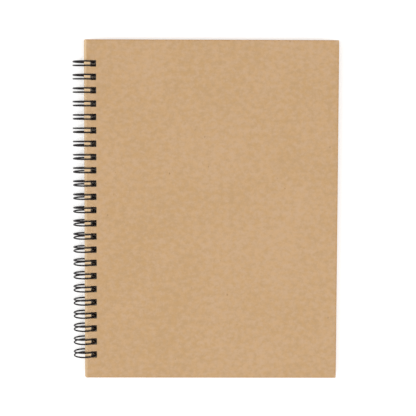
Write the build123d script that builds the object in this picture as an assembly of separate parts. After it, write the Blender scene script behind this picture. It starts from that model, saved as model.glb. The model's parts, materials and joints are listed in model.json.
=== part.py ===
from build123d import *
import math
import os

# A wire-bound A5 sketchbook lying closed on its back, front cover up, spine towards -X.
# Lengths are in mm, angles in degrees.
# Covers and sheets turn about one line along Y, the centre of the wire rings. Every piece is
# drawn with that line through the origin, and all are moved together to their place at the end.

# Paper
SHEET_COUNT = 40
SHEET_WIDTH = 157.5        # A5 width of 148, and a punched strip to tear off
SHEET_HEIGHT = 210.0       # A5 height
SHEET_THICKNESS = 0.155
SHEET_PITCH = 0.160        # from one sheet to the next, with the air between them

# Cover boards
COVER_WIDTH = 161.4
COVER_HEIGHT = 216.5
COVER_THICKNESS = 1.3
COVER_CORNER_RADIUS = 0.8

# Spine edge, and the row of holes along it
RING_PITCH = 25.4 / 3      # three holes to the inch
RING_COUNT = 23
SPINE_TO_AXIS = 0.35       # boards and sheets start this far to the right of the ring centre
HOLE_START = 3.9           # from the spine edge
HOLE_WIDTH = 3.8
HOLE_HEIGHT = 4.1

# Wire: one length, bent into a hairpin finger for each hole and then rolled round
WIRE_DIAMETER = 1.0
RING_RADIUS = 6.9          # to the middle of the wire
HALF_SPACING_TOP = 1.385   # half the distance between a finger's two strands
HALF_SPACING_BOTTOM = 1.0
ROOT_ANGLE = -68.0         # where a finger leaves the straight run along the spine
TIP_ANGLE = 262.0          # where its rounded tip begins
ROOT_BEND_RADIUS = 1.0
END_STUB = 1.2             # straight wire left beyond the first and last fingers

# Values that follow from the sizes
BLOCK_THICKNESS = SHEET_COUNT * SHEET_PITCH
RING_CENTRES = [(i - (RING_COUNT - 1) / 2) * RING_PITCH for i in range(RING_COUNT)]
STRAND_MIDDLE = (HALF_SPACING_TOP + HALF_SPACING_BOTTOM) / 2
STRAND_TILT = math.asin((HALF_SPACING_TOP - HALF_SPACING_BOTTOM) / (2 * RING_RADIUS))


def punched_leaf(width, height, thickness, bottom_z, corner_radius=0.0):
    """A board or a sheet with its row of holes, lying to the right of the ring centre."""
    outline = Rectangle(width, height)
    if corner_radius:
        outline = fillet(outline.vertices(), corner_radius)
    face = Pos(SPINE_TO_AXIS + width / 2, 0) * outline
    hole = Rectangle(HOLE_WIDTH, HOLE_HEIGHT)
    hole_x = SPINE_TO_AXIS + HOLE_START + HOLE_WIDTH / 2
    face -= [Pos(hole_x, y) * hole for y in RING_CENTRES]
    return extrude(Pos(0, 0, bottom_z) * face, thickness)


def strand_point(angle, side):
    """A point on a strand's centre line; side is +1 or -1 from the finger's middle."""
    turn = math.radians(angle)
    x = RING_RADIUS * math.cos(turn)
    rise = RING_RADIUS * math.sin(turn)
    y = side * (STRAND_MIDDLE + rise * math.sin(STRAND_TILT))
    return Vector(x, y, rise * math.cos(STRAND_TILT))


def strand_direction(angle, side):
    """The way a strand runs at that angle, towards the finger's tip."""
    turn = math.radians(angle)
    along_y = side * math.cos(turn) * math.sin(STRAND_TILT)
    return Vector(-math.sin(turn), along_y, math.cos(turn) * math.cos(STRAND_TILT))


def strand_arc(side, first_angle, last_angle):
    """A strand's long arc, between two angles."""
    angles = (first_angle, (first_angle + last_angle) / 2, last_angle)
    return ThreePointArc(*[strand_point(angle, side) for angle in angles])


def root_corner(side):
    """Where the straight run along the spine ends and the bend into a strand starts."""
    start = strand_point(ROOT_ANGLE, side)
    direction = strand_direction(ROOT_ANGLE, side)
    forward = Vector(direction.X, 0, direction.Z).normalized()
    lean = side * direction.Y
    sideways = Vector(0, side * ROOT_BEND_RADIUS * math.sqrt(1 - lean**2), 0)
    return start + sideways - forward * ROOT_BEND_RADIUS * (1 + lean)


def wire_finger(upper_end, lower_end):
    """One hairpin with half of the straight run on each side; ends are Y distances."""
    upper_corner = root_corner(1)
    lower_corner = root_corner(-1)
    upper_run_end = Vector(upper_corner.X, upper_end, upper_corner.Z)
    lower_run_end = Vector(lower_corner.X, -lower_end, lower_corner.Z)
    upper_tip = strand_point(TIP_ANGLE, 1)
    lower_tip = strand_point(TIP_ANGLE, -1)
    centre_line = Wire(
        [
            Line(upper_run_end, upper_corner),
            TangentArc(upper_corner, strand_point(ROOT_ANGLE, 1), tangent=(0, -1, 0)),
            strand_arc(1, ROOT_ANGLE, TIP_ANGLE),
            TangentArc(upper_tip, lower_tip, tangent=strand_direction(TIP_ANGLE, 1)),
            strand_arc(-1, TIP_ANGLE, ROOT_ANGLE),
            TangentArc(lower_corner, strand_point(ROOT_ANGLE, -1), tangent=(0, 1, 0)),
            Line(lower_corner, lower_run_end),
        ]
    )
    section = Plane(upper_run_end, z_dir=(0, -1, 0)) * Circle(WIRE_DIAMETER / 2)
    return sweep(section, path=centre_line)


def wire_binding():
    """All the fingers, joined through the straight runs into one wire."""
    half_run = RING_PITCH / 2
    stub = root_corner(1).Y + END_STUB
    fingers = []
    for i, y in enumerate(RING_CENTRES):
        lower_end = stub if i == 0 else half_run
        upper_end = stub if i == RING_COUNT - 1 else half_run
        fingers.append(Pos(0, y, 0) * wire_finger(upper_end, lower_end))
    return fingers[0].fuse(*fingers[1:])


cover_size = (COVER_WIDTH, COVER_HEIGHT, COVER_THICKNESS)
block_bottom = -BLOCK_THICKNESS / 2
back_bottom = block_bottom - COVER_THICKNESS
front_bottom = block_bottom + BLOCK_THICKNESS
parts = {
    "back_cover": punched_leaf(*cover_size, back_bottom, COVER_CORNER_RADIUS),
    "front_cover": punched_leaf(*cover_size, front_bottom, COVER_CORNER_RADIUS),
    "wire_binding": wire_binding(),
}

# Sheets are numbered from the front of the book, so sheet_01 lies under the front cover.
air = (SHEET_PITCH - SHEET_THICKNESS) / 2
for number in range(1, SHEET_COUNT + 1):
    sheet_bottom = block_bottom + (SHEET_COUNT - number) * SHEET_PITCH + air
    parts[f"sheet_{number:02d}"] = punched_leaf(
        SHEET_WIDTH, SHEET_HEIGHT, SHEET_THICKNESS, sheet_bottom
    )

# The origin is under the middle of the whole book, level with the bottom of the rings.
left_end = -RING_RADIUS - WIRE_DIAMETER / 2
right_end = SPINE_TO_AXIS + COVER_WIDTH
lowest = parts["wire_binding"].bounding_box().min.Z
place = Pos(-(left_end + right_end) / 2, 0, -lowest)

os.makedirs("parts", exist_ok=True)
for name, shape in parts.items():
    placed = place * shape
    placed.label = name
    export_step(placed, f"parts/{name}.step")
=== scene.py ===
import json
import math

import bmesh
import bpy
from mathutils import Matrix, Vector
from mathutils.geometry import tessellate_polygon


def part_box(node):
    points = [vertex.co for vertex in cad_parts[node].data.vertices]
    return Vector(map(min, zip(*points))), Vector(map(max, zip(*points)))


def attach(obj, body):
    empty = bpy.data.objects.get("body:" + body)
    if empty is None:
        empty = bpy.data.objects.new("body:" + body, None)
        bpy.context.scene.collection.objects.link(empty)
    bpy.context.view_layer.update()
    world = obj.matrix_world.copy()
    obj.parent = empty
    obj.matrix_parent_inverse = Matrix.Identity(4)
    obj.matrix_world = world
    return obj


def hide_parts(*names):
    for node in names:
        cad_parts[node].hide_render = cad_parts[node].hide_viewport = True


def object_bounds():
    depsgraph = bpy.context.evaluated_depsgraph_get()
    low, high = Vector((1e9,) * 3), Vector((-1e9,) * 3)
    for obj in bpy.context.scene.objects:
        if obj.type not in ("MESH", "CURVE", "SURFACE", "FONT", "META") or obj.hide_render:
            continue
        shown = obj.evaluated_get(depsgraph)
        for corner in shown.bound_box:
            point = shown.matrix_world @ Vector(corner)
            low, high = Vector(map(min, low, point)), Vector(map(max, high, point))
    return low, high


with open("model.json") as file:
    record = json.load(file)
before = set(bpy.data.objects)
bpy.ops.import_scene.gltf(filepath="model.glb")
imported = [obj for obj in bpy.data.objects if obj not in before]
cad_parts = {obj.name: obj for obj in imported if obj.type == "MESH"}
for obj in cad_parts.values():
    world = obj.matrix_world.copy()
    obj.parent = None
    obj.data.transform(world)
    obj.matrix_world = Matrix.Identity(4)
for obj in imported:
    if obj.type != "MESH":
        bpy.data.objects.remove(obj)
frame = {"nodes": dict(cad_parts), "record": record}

# A closed wire-bound sketchbook: two kraft boards, drawing paper and a black twin-loop wire.
# The boards and the wire are remade here with soft edges and smooth bends. The sheets of the
# frame keep their shape and get a paper material. Lengths are in metres, angles in degrees.

MM = 0.001
CAD_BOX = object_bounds()

# ---------------------------------------------------------------- sizes, as in the CAD model
RING_PITCH = 25.4 / 3 * MM
RING_COUNT = 23
SPINE_TO_HOLE = 3.9 * MM
HOLE_WIDTH = 3.8 * MM
HOLE_HEIGHT = 4.1 * MM
WIRE_RADIUS = 0.5 * MM
RING_RADIUS = 6.9 * MM
HALF_SPACING_TOP = 1.385 * MM
HALF_SPACING_BOTTOM = 1.0 * MM
ROOT_ANGLE = -68.0
TIP_ANGLE = 262.0
ROOT_BEND_RADIUS = 1.0 * MM
END_STUB = 1.2 * MM
TEAR_STRIP = 9.5 * MM

RING_AXIS = Vector(frame["record"]["behaviour"]["joints"][0]["pos_m"])
RING_CENTRES = [(i - (RING_COUNT - 1) / 2) * RING_PITCH for i in range(RING_COUNT)]
STRAND_MIDDLE = (HALF_SPACING_TOP + HALF_SPACING_BOTTOM) / 2
STRAND_TILT = math.asin((HALF_SPACING_TOP - HALF_SPACING_BOTTOM) / (2 * RING_RADIUS))
SPINE_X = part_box("front_cover")[0][0]

SHEETS = sorted(name for name in frame["nodes"] if name.startswith("sheet_"))

# ---------------------------------------------------------------- softened edges of the boards
EDGE_ROLL = 0.45 * MM          # how far in the cut edges are softened
SPINE_ROLL = 1.5 * MM          # further at the spine, where the board has been bent back
EDGE_ROLL_DEPTH = 0.35 * MM
HOLE_ROLL = 0.12 * MM
HOLE_CORNER = 0.35 * MM
SMALLEST_CORNER = 0.02 * MM
HOLE_CORNER_STEPS = 3

# Corner radii, anticlockwise from the spine's tail end; each corner is worn a little differently
FRONT_CORNERS = (1.1 * MM, 0.5 * MM, 0.7 * MM, 0.9 * MM)
BACK_CORNERS = (0.8 * MM, 0.5 * MM, 0.7 * MM, 0.8 * MM)

# ---------------------------------------------------------------- noise
# Noise lies round 0.5. These are the stretches of it that the ramps use.
NARROW = (0.38, 0.62)
MIDDLE = (0.35, 0.65)
WIDE = (0.3, 0.7)

# ---------------------------------------------------------------- kraft board
CLOUD_SHARE = 0.22             # of the tone; the rest is the finer mottle
MOTTLE_SHARE = 0.78
HONEY_PATCHES = (0.40, 0.62)
HONEY_AMOUNT = 0.20
LAYER_AMOUNT = (0.35, 0.8)
KRAFT_ROUGHNESS = (0.78, 0.9)

# Each set of fibres: its turn, then how fast it changes per metre along and across the fibres
FIBRE_SETS = ((8, 260, 3200), (66, 420, 3600), (-50, 380, 3400))
FIBRE_CHANGE_IN_DEPTH = 900
FIBRE_PEAKS = (0.60, 0.78)
FIBRE_AMOUNT = 0.30

FLECK_SIZE = (0.05, 0.11)
FLECKED_PATCHES = (0.60, 0.66)
FLECK_AMOUNT = 0.45

# Marks of use, and painted shade and light along the edges and the ring row
CUT_FACE_MARGIN = 0.12 * MM    # from the board's flat faces to its cut layers
CUT_FACE_BLEND = 0.18 * MM
RAGGED_DEPTH = 1.1 * MM        # how unevenly the marks along the edges run
# Painted shade along the fore-edge, head and tail rims
RIM_SHADE_WIDTH = 0.5 * MM
RIM_SHADE_AMOUNT = 0.25
CORNER_AMOUNT = 0.3
# Rubbing and a painted highlight along the spine edge
SPINE_AMOUNT = (0.45, 0.8)
SPINE_RAGGEDNESS = 0.5
# Lighter strip under the strands: rubbing and painted light; then painted light along the whole ring
# row
POLISH_AND_LIGHT_AMOUNT = 0.75
RING_SHADE_LIFT_AMOUNT = 0.16

# Where each of these marks begins to fade, and where it ends
CORNER_RUB = (0.4 * MM, 2.6 * MM)
SPINE_WEAR_AND_HIGHLIGHT = (0.9 * MM, 1.7 * MM)
UNDER_STRANDS = (1.0 * MM, 2.6 * MM)
BESIDE_HOLE = (3.6 * MM, 4.6 * MM)
PAST_LAST_RING = (RING_CENTRES[-1] + 1.5 * MM, RING_CENTRES[-1] + 3.0 * MM)
RING_SHADE_LIFT_STRIP = (2.0 * MM, 9.0 * MM)

# ---------------------------------------------------------------- paper
PAPER_TOOTH = (0.35, 0.75)
PAPER_TOOTH_AMOUNT = 0.10
PAPER_FIBRE_PEAKS = (0.62, 0.8)
PAPER_FIBRE_AMOUNT = 0.12
LEAF_AMOUNT = 0.07
PAPER_ROUGHNESS = (0.8, 0.93)

# The line of cuts, darkened as painted shade in the slits
CUT_SHADE_AMOUNT = 0.45
HALF_CUT_PITCH = 0.7 * MM
HALF_CUT_WIDTH = (0.06 * MM, 0.16 * MM)
HALF_BRIDGE = (0.20 * MM, 0.30 * MM)     # the uncut paper between two cuts

# ---------------------------------------------------------------- coating of the wire
RUBBED_SPOTS = (0.66, 0.78)
RUBBED_AMOUNT = 0.35
WIRE_ROUGHNESS = (0.34, 0.50)

# ---------------------------------------------------------------- floor, light and camera
FLOOR_SIZE = 6.0
FLOOR_DROP = 0.05 * MM         # keeps the floor just clear of the rings
FLOOR_ROUGHNESS = 0.9
FLOOR_GLOW = 0.35
GLOW_EDGE = (-2.5 * MM, -0.5 * MM)     # beyond the back cover's outline; less than 0 is under it

SOFTBOX_WIDTH = 0.6
SOFTBOX_LENGTH = 1.4
KEY_PLACE = (-0.85, -0.12, 1.6)
KEY_POWER = 14.4
FILL_PLACE = (0.9, -0.12, 1.6)
FILL_POWER = 13.5
SKY_STRENGTH = 0.38

CAMERA_PLACE = (-3.3 * MM, 65.9 * MM, 662.0 * MM)
CAMERA_TURN = (-3.33, -0.44, 0.18)
CAMERA_SENSOR = 36.0           # Blender takes the sensor and the lens in millimetres
CAMERA_LENS = 88.6
CAMERA_SHIFT = -0.10           # as a share of the sensor
CAMERA_NEAREST = 0.01


# ---------------------------------------------------------------- colours
def colour(r, g, b):
    """An sRGB colour out of 255, as linear light by the standard's own curve."""
    def linear(v):
        v /= 255
        return v / 12.92 if v <= 0.04045 else ((v + 0.055) / 1.055) ** 2.4
    return (linear(r), linear(g), linear(b), 1.0)


KRAFT_DARK = colour(191, 156, 114)
KRAFT_LIGHT = colour(202, 168, 132)
KRAFT_HONEY = colour(208, 162, 100)
KRAFT_FIBRE = colour(172, 135, 94)
KRAFT_FLECK = colour(128, 94, 60)
KRAFT_CORE = colour(166, 131, 91)
# painted shade along the rims
KRAFT_RIM_SHADE = colour(178, 128, 76)
# rubbed wear at the corners and spine, and the painted highlight along the spine edge
KRAFT_WORN_AND_HIGHLIGHT = colour(228, 199, 160)
# rubbing and painted light along the ring row
KRAFT_POLISHED_AND_LIT = colour(238, 206, 162)
PAPER_WARM = colour(240, 235, 222)
PAPER_COOL = colour(236, 233, 224)
PAPER_SHADE = colour(205, 199, 184)
# painted shade in the slits of the tear line
PAPER_CUT_SHADE = colour(150, 143, 128)
WIRE_BLACK = colour(18, 10, 12)
WIRE_GREY = colour(32, 20, 24)
WIRE_RUBBED = colour(66, 57, 60)
FLOOR_PALE = colour(236, 236, 236)
FLOOR_PALER = colour(240, 240, 240)
WHITE = (1.0, 1.0, 1.0, 1.0)


# ---------------------------------------------------------------- node helpers
class Shader:
    """Builds one material's nodes; sockets are named as Blender names them."""

    def __init__(self, name):
        self.material = bpy.data.materials.new(name)
        self.material.use_nodes = True
        self.nodes = self.material.node_tree.nodes
        self.links = self.material.node_tree.links
        self.bsdf = self.nodes["Principled BSDF"]
        self.place = self.nodes.new("ShaderNodeTexCoord").outputs["Object"]

    def put(self, socket, value):
        """Links a socket to another socket, or sets it to a constant."""
        if isinstance(value, bpy.types.NodeSocket):
            self.links.new(value, socket)
        else:
            socket.default_value = value

    def math(self, operation, a, b=0.0):
        node = self.nodes.new("ShaderNodeMath")
        node.operation = operation
        self.put(node.inputs[0], a)
        self.put(node.inputs[1], b)
        return node.outputs[0]

    def times(self, a, b):
        return self.math("MULTIPLY", a, b)

    def minus(self, a, b):
        return self.math("SUBTRACT", a, b)

    def smaller(self, a, b):
        return self.math("MINIMUM", a, b)

    def larger(self, a, b):
        return self.math("MAXIMUM", a, b)

    def size_of(self, a):
        return self.math("ABSOLUTE", a)

    def split(self, vector):
        node = self.nodes.new("ShaderNodeSeparateXYZ")
        self.put(node.inputs[0], vector)
        return node.outputs

    def stretched(self, scale=(1.0, 1.0, 1.0), turn=0.0):
        """Object coordinates scaled per axis, turned about Z."""
        node = self.nodes.new("ShaderNodeMapping")
        self.put(node.inputs["Vector"], self.place)
        node.inputs["Rotation"].default_value = (0, 0, math.radians(turn))
        node.inputs["Scale"].default_value = scale
        return node.outputs[0]

    def noise(self, vector, scale=1.0, detail=3.0, rough=0.5):
        node = self.nodes.new("ShaderNodeTexNoise")
        self.put(node.inputs["Vector"], vector)
        node.inputs["Scale"].default_value = scale
        node.inputs["Detail"].default_value = detail
        node.inputs["Roughness"].default_value = rough
        return node.outputs[0]

    def spots(self, vector, scale):
        """Distance to scattered points, small at each point."""
        node = self.nodes.new("ShaderNodeTexVoronoi")
        node.feature = "F1"
        self.put(node.inputs["Vector"], vector)
        node.inputs["Scale"].default_value = scale
        return node.outputs["Distance"]

    def ramp(self, value, low, high, out_low=0.0, out_high=1.0):
        """Maps low..high to out_low..out_high, held at the ends and smooth between."""
        node = self.nodes.new("ShaderNodeMapRange")
        node.interpolation_type = "SMOOTHSTEP"
        self.put(node.inputs["Value"], value)
        node.inputs["From Min"].default_value = low
        node.inputs["From Max"].default_value = high
        node.inputs["To Min"].default_value = out_low
        node.inputs["To Max"].default_value = out_high
        return node.outputs[0]

    def fade(self, value, start, end, amount=1.0):
        """The amount up to start, falling smoothly to nothing at end."""
        return self.ramp(value, start, end, amount, 0.0)

    def mix(self, factor, a, b):
        """Two colours, blended; the node keeps its colour sockets at these numbers."""
        node = self.nodes.new("ShaderNodeMix")
        node.data_type = "RGBA"
        self.put(node.inputs[0], factor)
        self.put(node.inputs[6], a)
        self.put(node.inputs[7], b)
        return node.outputs[2]

    def bump(self, height, strength, distance, under=None):
        """A normal with this relief, added to the one under it."""
        node = self.nodes.new("ShaderNodeBump")
        node.inputs["Strength"].default_value = strength
        node.inputs["Distance"].default_value = distance
        self.put(node.inputs["Height"], height)
        if under is not None:
            self.put(node.inputs["Normal"], under)
        return node.outputs[0]

    def surface(self, tint, roughness, normal, specular):
        """Sets the four things every material here has; normal may be None."""
        self.put(self.bsdf.inputs["Base Color"], tint)
        self.put(self.bsdf.inputs["Roughness"], roughness)
        self.bsdf.inputs["Specular IOR Level"].default_value = specular
        if normal is not None:
            self.put(self.bsdf.inputs["Normal"], normal)
        return self.material


# ---------------------------------------------------------------- material of the boards
def kraft_fibres(s):
    """Fibres lie every way, mostly along the sheet; crossed sets stand for them."""
    fibres = None
    for turn, along, across in FIBRE_SETS:
        stretched = s.stretched((across, along, FIBRE_CHANGE_IN_DEPTH), turn)
        run = s.noise(stretched, detail=2.0, rough=0.55)
        fibres = run if fibres is None else s.larger(fibres, run)
    return fibres


def kraft_pulp(s, tone, fibres):
    """The board's own colour: clouds, a little honey, brown fibres and flecks."""
    tint = s.mix(s.ramp(tone, *NARROW), KRAFT_DARK, KRAFT_LIGHT)
    warmth = s.noise(s.stretched(turn=40), scale=310.0, detail=2.0)
    tint = s.mix(s.ramp(warmth, *HONEY_PATCHES, out_high=HONEY_AMOUNT), tint, KRAFT_HONEY)
    tint = s.mix(s.times(s.ramp(fibres, *FIBRE_PEAKS), FIBRE_AMOUNT), tint, KRAFT_FIBRE)

    spots = s.spots(s.stretched((1.0, 0.55, 1.0), turn=30), scale=210.0)
    chosen = s.ramp(s.noise(s.place, scale=160.0, detail=1.0), *FLECKED_PATCHES)
    flecks = s.times(s.fade(spots, *FLECK_SIZE), chosen)
    return s.mix(s.times(flecks, FLECK_AMOUNT), tint, KRAFT_FLECK)


def kraft_edge_wear_and_light(s, tint, from_spine, from_fore, from_end):
    """Painted shade along the fore-edge, head and tail rims, where the edges face away from the light;
    then the rubbed corners, and the spine edge, worn and painted lighter as a highlight.
    """
    ragged = s.times(s.noise(s.place, scale=900.0, detail=2.0), RAGGED_DEPTH)
    from_rim = s.minus(s.smaller(from_fore, from_end), ragged)
    # Painted shade: the fore-edge, head and tail rims are darker, where their edges face away from the
    # light.
    tint = s.mix(s.fade(from_rim, 0.0, RIM_SHADE_WIDTH, RIM_SHADE_AMOUNT), tint, KRAFT_RIM_SHADE)

    from_side = s.smaller(from_spine, from_fore)
    from_corner = s.minus(s.math("ADD", from_side, from_end), ragged)
    corner = s.times(s.fade(from_corner, *CORNER_RUB), CORNER_AMOUNT)
    patches = s.noise(s.stretched((40.0, 12.0, 40.0)), detail=2.0)
    patchy = s.ramp(patches, *MIDDLE, *SPINE_AMOUNT)
    # The spine edge: rubbing, and a painted highlight where its rolled edge faces the light.
    rolled = s.fade(s.minus(from_spine, s.times(ragged, SPINE_RAGGEDNESS)), *SPINE_WEAR_AND_HIGHLIGHT)
    return s.mix(s.larger(corner, s.times(rolled, patchy)), tint, KRAFT_WORN_AND_HIGHLIGHT)


def kraft_polish_and_light(s, tint, from_spine, y):
    """The strip between each hole and the spine, under the strands, is rubbed lighter and painted
    lighter to lift the strands' shade; painted light along the whole row near the spine lifts the
    rings' shade.
    """
    from_ring = s.math("PINGPONG", s.minus(y, RING_CENTRES[0]), RING_PITCH / 2)
    under_ring = s.fade(from_ring, *UNDER_STRANDS)
    beside_hole = s.fade(from_spine, *BESIDE_HOLE)
    in_row = s.fade(s.size_of(y), *PAST_LAST_RING)
    # Painted light, with some rubbing: the strip under the strands is lighter, lifting the strands'
    # shade.
    polish_and_light = s.times(s.times(s.times(under_ring, beside_hole), in_row), POLISH_AND_LIGHT_AMOUNT)
    # Painted light: a faint lighter band along the ring row lifts the shade of the rings between them.
    shade_lift = s.times(s.fade(from_spine, *RING_SHADE_LIFT_STRIP, RING_SHADE_LIFT_AMOUNT), in_row)
    return s.mix(s.larger(polish_and_light, shade_lift), tint, KRAFT_POLISHED_AND_LIT)


def kraft_material(name, node):
    """Plain kraft board: short brown fibres, faint clouds, flecks, rubbed edges, and painted shade and
    light at the rims, the spine edge and the ring row.
    """
    s = Shader(name)
    low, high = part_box(node)
    x, y, z = s.split(s.place)

    # Clouding from the paper machine, from centimetres down to half a millimetre
    clouds = s.noise(s.place, scale=28.0, detail=3.0, rough=0.55)
    mottle = s.noise(s.stretched((1.0, 1.25, 1.0)), scale=260.0, detail=5.0, rough=0.75)
    tone = s.math("ADD", s.times(clouds, CLOUD_SHARE), s.times(mottle, MOTTLE_SHARE))
    fibres = kraft_fibres(s)
    tint = kraft_pulp(s, tone, fibres)

    # Cut edges show the pressed layers of the board
    layers = s.noise(s.stretched((60.0, 60.0, 5200.0)), detail=3.0, rough=0.65)
    from_middle = s.size_of(s.minus(z, (low[2] + high[2]) / 2))
    inner = s.minus((high[2] - low[2]) / 2 - CUT_FACE_MARGIN, from_middle)
    cut = s.ramp(inner, 0.0, CUT_FACE_BLEND)
    tint = s.mix(s.times(cut, s.ramp(layers, *NARROW, *LAYER_AMOUNT)), tint, KRAFT_CORE)

    from_spine = s.minus(x, low[0])
    from_fore = s.minus(high[0], x)
    from_end = s.smaller(s.minus(y, low[1]), s.minus(high[1], y))
    tint = kraft_edge_wear_and_light(s, tint, from_spine, from_fore, from_end)
    tint = kraft_polish_and_light(s, tint, from_spine, y)

    roughness = s.ramp(tone, *WIDE, *KRAFT_ROUGHNESS)
    fine = s.bump(fibres, strength=0.35, distance=0.05 * MM)
    felt = s.bump(mottle, strength=0.25, distance=0.12 * MM, under=fine)
    relief = s.bump(s.times(layers, cut), strength=0.4, distance=0.10 * MM, under=felt)
    return s.surface(tint, roughness, relief, specular=0.35)


# ---------------------------------------------------------------- the other materials
def paper_material():
    """Off-white drawing paper with a light tooth, and the line of cuts where a sheet tears off, drawn
    darker as painted shade in the slits.
    """
    s = Shader("drawing_paper")
    x, y, _ = s.split(s.place)
    clouds = s.noise(s.place, scale=45.0)
    tooth = s.noise(s.place, scale=2600.0, rough=0.6)
    fibres = s.noise(s.stretched((2400, 420, 900), turn=20), detail=2.0)
    tint = s.mix(s.ramp(clouds, *MIDDLE), PAPER_WARM, PAPER_COOL)
    tint = s.mix(s.ramp(tooth, *PAPER_TOOTH, out_high=PAPER_TOOTH_AMOUNT), tint, PAPER_SHADE)
    tint = s.mix(s.ramp(fibres, *PAPER_FIBRE_PEAKS, out_high=PAPER_FIBRE_AMOUNT), tint, PAPER_SHADE)

    # Each sheet's cut edge differs a little in tone from the next
    leaf_tone = s.noise(s.stretched((0.0, 0.0, 6200.0)), detail=0.0)
    tint = s.mix(s.ramp(leaf_tone, *WIDE, out_high=LEAF_AMOUNT), tint, PAPER_SHADE)

    from_line = s.size_of(s.minus(x, SPINE_X + TEAR_STRIP))
    along_line = s.ramp(s.math("PINGPONG", y, HALF_CUT_PITCH), *HALF_BRIDGE)
    cut = s.times(s.fade(from_line, *HALF_CUT_WIDTH), along_line)
    # Painted shade: the slits of the tear line are drawn darker.
    tint = s.mix(s.times(cut, CUT_SHADE_AMOUNT), tint, PAPER_CUT_SHADE)

    roughness = s.ramp(tooth, *WIDE, *PAPER_ROUGHNESS)
    grain = s.bump(tooth, strength=0.30, distance=0.06 * MM)
    relief = s.bump(s.minus(fibres, cut), strength=0.3, distance=0.08 * MM, under=grain)
    return s.surface(tint, roughness, relief, specular=0.3)


def wire_material():
    """Black coating on steel: satin, with fine marks and a few rubbed spots."""
    s = Shader("black_wire")
    haze = s.noise(s.place, scale=700.0, rough=0.6)
    marks = s.noise(s.place, scale=5200.0, detail=2.0, rough=0.6)
    rubbed = s.ramp(s.noise(s.place, scale=1500.0, detail=4.0, rough=0.7), *RUBBED_SPOTS)
    tint = s.mix(s.ramp(haze, *WIDE), WIRE_BLACK, WIRE_GREY)
    tint = s.mix(s.times(rubbed, RUBBED_AMOUNT), tint, WIRE_RUBBED)
    roughness = s.ramp(haze, *WIDE, *WIRE_ROUGHNESS)
    relief = s.bump(marks, strength=0.18, distance=0.02 * MM)
    return s.surface(tint, roughness, relief, specular=0.3)


def floor_material():
    """A pale table that glows softly all round the book, so that the shadow stays faint."""
    s = Shader("pale_floor")
    low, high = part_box("back_cover")
    x, y, _ = s.split(s.place)
    from_middle = s.size_of(s.minus(x, (low[0] + high[0]) / 2))
    beyond_side = s.minus(from_middle, (high[0] - low[0]) / 2)
    beyond_end = s.minus(s.size_of(y), high[1])
    around = s.ramp(s.larger(beyond_side, beyond_end), *GLOW_EDGE)
    cloud = s.noise(s.place, scale=3.0, detail=2.0)
    tint = s.mix(s.ramp(cloud, *WIDE), FLOOR_PALE, FLOOR_PALER)
    s.bsdf.inputs["Emission Color"].default_value = WHITE
    s.put(s.bsdf.inputs["Emission Strength"], s.times(around, FLOOR_GLOW))
    return s.surface(tint, FLOOR_ROUGHNESS, None, specular=0.1)


# ---------------------------------------------------------------- boards
def body_with(node):
    """The CAD body that a node belongs to."""
    bodies = frame["record"]["behaviour"]["bodies"]
    return next(body for body, nodes in bodies.items() if node in nodes)


def rounded_box(x0, y0, x1, y1, radii, steps=6):
    """Corner points of a rectangle, anticlockwise from the lower left, each corner rounded."""
    points = []
    corners = ((x0, y0, 1, 1, 180), (x1, y0, -1, 1, 270), (x1, y1, -1, -1, 0), (x0, y1, 1, -1, 90))
    for (x, y, to_x, to_y, start), radius in zip(corners, radii):
        for i in range(steps + 1):
            turn = math.radians(start + 90 * i / steps)
            points.append((x + radius * (to_x + math.cos(turn)), y + radius * (to_y + math.sin(turn))))
    return points


def edge_profile(half, roll, steps=6):
    """Steps round a board's edge, as (share of the inset, height above the middle)."""
    upper = []
    for i in range(steps + 1):
        turn = math.radians(90 * i / steps)
        upper.append((1 - math.sin(turn), half - roll * (1 - math.cos(turn))))
    return upper + [(share, -height) for share, height in reversed(upper)]


def board_loops(low, high, corner_radii, share):
    """A board's outline and its holes, at one step of the edge profile."""
    spine = share * SPINE_ROLL
    edge = share * EDGE_ROLL
    widened = share * HOLE_ROLL
    radii = [max(radius - edge, SMALLEST_CORNER) for radius in corner_radii]
    loops = [rounded_box(low[0] + spine, low[1] + edge, high[0] - edge, high[1] - edge, radii)]
    hole_x = low[0] + SPINE_TO_HOLE
    for y in RING_CENTRES:
        hole = rounded_box(hole_x - widened, y - HOLE_HEIGHT / 2 - widened,
                           hole_x + HOLE_WIDTH + widened, y + HOLE_HEIGHT / 2 + widened,
                           [HOLE_CORNER] * 4, HOLE_CORNER_STEPS)
        loops.append(hole[::-1])
    return loops


def board_faces(loops, levels):
    """The walls between the levels, then the two flat faces."""
    count = sum(len(loop) for loop in loops)
    faces = []
    for step in range(levels - 1):
        start = step * count
        for loop in loops:
            for i in range(len(loop)):
                here = start + i
                beyond = start + (i + 1) % len(loop)
                faces.append((here, here + count, beyond + count, beyond))
            start += len(loop)
    top = tessellate_polygon(loops)
    last = (levels - 1) * count
    bottom = [[last + i for i in reversed(face)] for face in top]
    return faces + top + bottom


def board(name, node, corner_radii):
    """A punched cover board with softened edges, in place of its CAD node."""
    low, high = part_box(node)
    middle = (low[2] + high[2]) / 2
    levels = []
    for share, height in edge_profile((high[2] - low[2]) / 2, EDGE_ROLL_DEPTH):
        outlines = board_loops(low, high, corner_radii, share)
        levels.append([[Vector((x, y, middle + height)) for x, y in loop] for loop in outlines])
    vertices = [point for level in levels for loop in level for point in loop]

    mesh = bpy.data.meshes.new(name)
    mesh.from_pydata(vertices, [], board_faces(levels[0], len(levels)))
    work = bmesh.new()
    work.from_mesh(mesh)
    bmesh.ops.recalc_face_normals(work, faces=work.faces)
    work.to_mesh(mesh)
    work.free()
    for face in mesh.polygons:
        face.use_smooth = True
    mesh.materials.append(kraft_material(name + "_kraft", node))
    obj = bpy.data.objects.new(name, mesh)
    bpy.context.collection.objects.link(obj)
    obj.modifiers.new("even_shading", "WEIGHTED_NORMAL").keep_sharp = True
    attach(obj, body_with(node))
    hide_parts(node)


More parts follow.
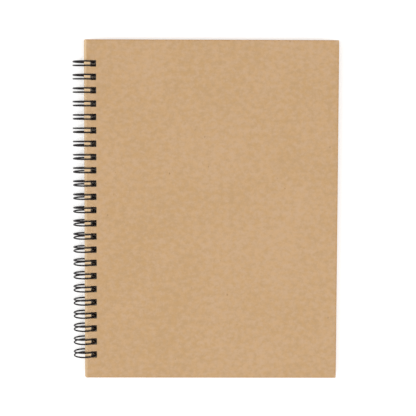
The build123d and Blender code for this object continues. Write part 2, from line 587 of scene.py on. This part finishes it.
# ---------------------------------------------------------------- wire
def strand_point(angle, side):
    """A point on a strand's centre line, from the ring centre; side is +1 or -1."""
    turn = math.radians(angle)
    rise = RING_RADIUS * math.sin(turn)
    y = side * (STRAND_MIDDLE + rise * math.sin(STRAND_TILT))
    return Vector((RING_RADIUS * math.cos(turn), y, rise * math.cos(STRAND_TILT)))


def direction_at(angle):
    """The way the rings run at that angle, towards a finger's tip."""
    turn = math.radians(angle)
    return Vector((-math.sin(turn), 0, math.cos(turn)))


def root_bend(side, steps=6):
    """From the straight run along the spine round into a strand."""
    forward = direction_at(ROOT_ANGLE)
    start = strand_point(ROOT_ANGLE, side)
    centre = start + Vector((0, side * ROOT_BEND_RADIUS, 0))
    points = []
    for i in range(steps):
        bend = math.radians(90 * i / steps)
        sideways = Vector((0, -side * math.sin(bend), 0)) * ROOT_BEND_RADIUS
        points.append(centre - forward * ROOT_BEND_RADIUS * math.cos(bend) + sideways)
    return points


def tip_bend(steps=12):
    """The round end of a finger, from its lower strand to its upper one."""
    forward = direction_at(TIP_ANGLE)
    start = strand_point(TIP_ANGLE, -1)
    radius = -start.y
    middle = Vector((start.x, 0, start.z))
    points = []
    for i in range(1, steps):
        bend = math.pi * i / steps
        sideways = Vector((0, -radius * math.cos(bend), 0))
        points.append(middle + forward * radius * math.sin(bend) + sideways)
    return points


def finger(steps=48):
    """One hairpin of wire, from the run below it to the run above it."""
    angles = [ROOT_ANGLE + (TIP_ANGLE - ROOT_ANGLE) * i / steps for i in range(steps + 1)]
    rise = [strand_point(angle, -1) for angle in angles]
    back = [strand_point(angle, 1) for angle in reversed(angles)]
    return root_bend(-1) + rise + tip_bend() + back + root_bend(1)[::-1]


def tube(name, centre_line):
    """A round wire's mesh along a line of points."""
    curve = bpy.data.curves.new(name, "CURVE")
    curve.dimensions = "3D"
    curve.bevel_depth = WIRE_RADIUS
    curve.bevel_resolution = 4
    curve.use_fill_caps = True
    spline = curve.splines.new("POLY")
    spline.points.add(len(centre_line) - 1)
    for point, place in zip(spline.points, centre_line):
        point.co = (*place, 1)
    shape = bpy.data.objects.new(name, curve)
    mesh = bpy.data.meshes.new_from_object(shape)
    bpy.data.objects.remove(shape)
    mesh.materials.clear()

    # The walls are made of four-cornered faces. The two end caps stay flat.
    for face in mesh.polygons:
        face.use_smooth = len(face.vertices) == 4
    return mesh


def wire():
    """The whole binding: one wire through all the fingers, as a smooth tube."""
    centre_line = []
    for y in RING_CENTRES:
        place = RING_AXIS + Vector((0, y, 0))
        centre_line += [point + place for point in finger()]
    stub = Vector((0, END_STUB, 0))
    centre_line.insert(0, centre_line[0] - stub)
    centre_line.append(centre_line[-1] + stub)

    mesh = tube("twin_loop_line", centre_line)
    mesh.materials.append(wire_material())
    obj = bpy.data.objects.new("twin_loop_wire", mesh)
    bpy.context.collection.objects.link(obj)
    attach(obj, body_with("wire_binding"))
    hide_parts("wire_binding")


# ---------------------------------------------------------------- stage
def floor():
    """A large level floor, just under the rings."""
    mesh = bpy.data.meshes.new("floor")
    half = FLOOR_SIZE / 2
    corners = [(-half, -half, 0), (half, -half, 0), (half, half, 0), (-half, half, 0)]
    mesh.from_pydata(corners, [], [(0, 1, 2, 3)])
    mesh.materials.append(floor_material())
    obj = bpy.data.objects.new("floor", mesh)
    obj.location.z = CAD_BOX[0][2] - FLOOR_DROP
    bpy.context.collection.objects.link(obj)


def softbox(name, place, power):
    """An area light that faces the origin; its width lies level, along the book's spine here."""
    light = bpy.data.lights.new(name, "AREA")
    light.shape = "RECTANGLE"
    light.size = SOFTBOX_WIDTH
    light.size_y = SOFTBOX_LENGTH
    light.energy = power
    obj = bpy.data.objects.new(name, light)
    obj.location = place
    obj.rotation_euler = (-Vector(place)).to_track_quat("-Z", "Y").to_euler()
    bpy.context.collection.objects.link(obj)


def sky(scene):
    """Even white light from all round."""
    world = bpy.data.worlds.new("studio")
    world.use_nodes = True
    background = world.node_tree.nodes["Background"]
    background.inputs["Color"].default_value = WHITE
    background.inputs["Strength"].default_value = SKY_STRENGTH
    scene.world = world


def camera(scene):
    """The camera stands over the head half of the book and leans a little towards the tail."""
    lens = bpy.data.cameras.new("camera")
    lens.sensor_width = CAMERA_SENSOR
    lens.lens = CAMERA_LENS
    lens.shift_y = CAMERA_SHIFT
    lens.clip_start = CAMERA_NEAREST
    obj = bpy.data.objects.new("camera", lens)
    obj.location = CAMERA_PLACE
    obj.rotation_euler = [math.radians(turn) for turn in CAMERA_TURN]
    bpy.context.collection.objects.link(obj)
    scene.camera = obj


# ---------------------------------------------------------------- the book on its table
board("kraft_front_cover", "front_cover", FRONT_CORNERS)
board("kraft_back_cover", "back_cover", BACK_CORNERS)
wire()

paper = paper_material()
for sheet_name in SHEETS:
    for slot in bpy.data.objects[sheet_name].material_slots:
        slot.material = paper

floor()
softbox("key_light", KEY_PLACE, KEY_POWER)
softbox("fill_light", FILL_PLACE, FILL_POWER)
scene = bpy.context.scene
sky(scene)
camera(scene)
scene.view_settings.view_transform = "Standard"
scene.view_settings.look = "None"
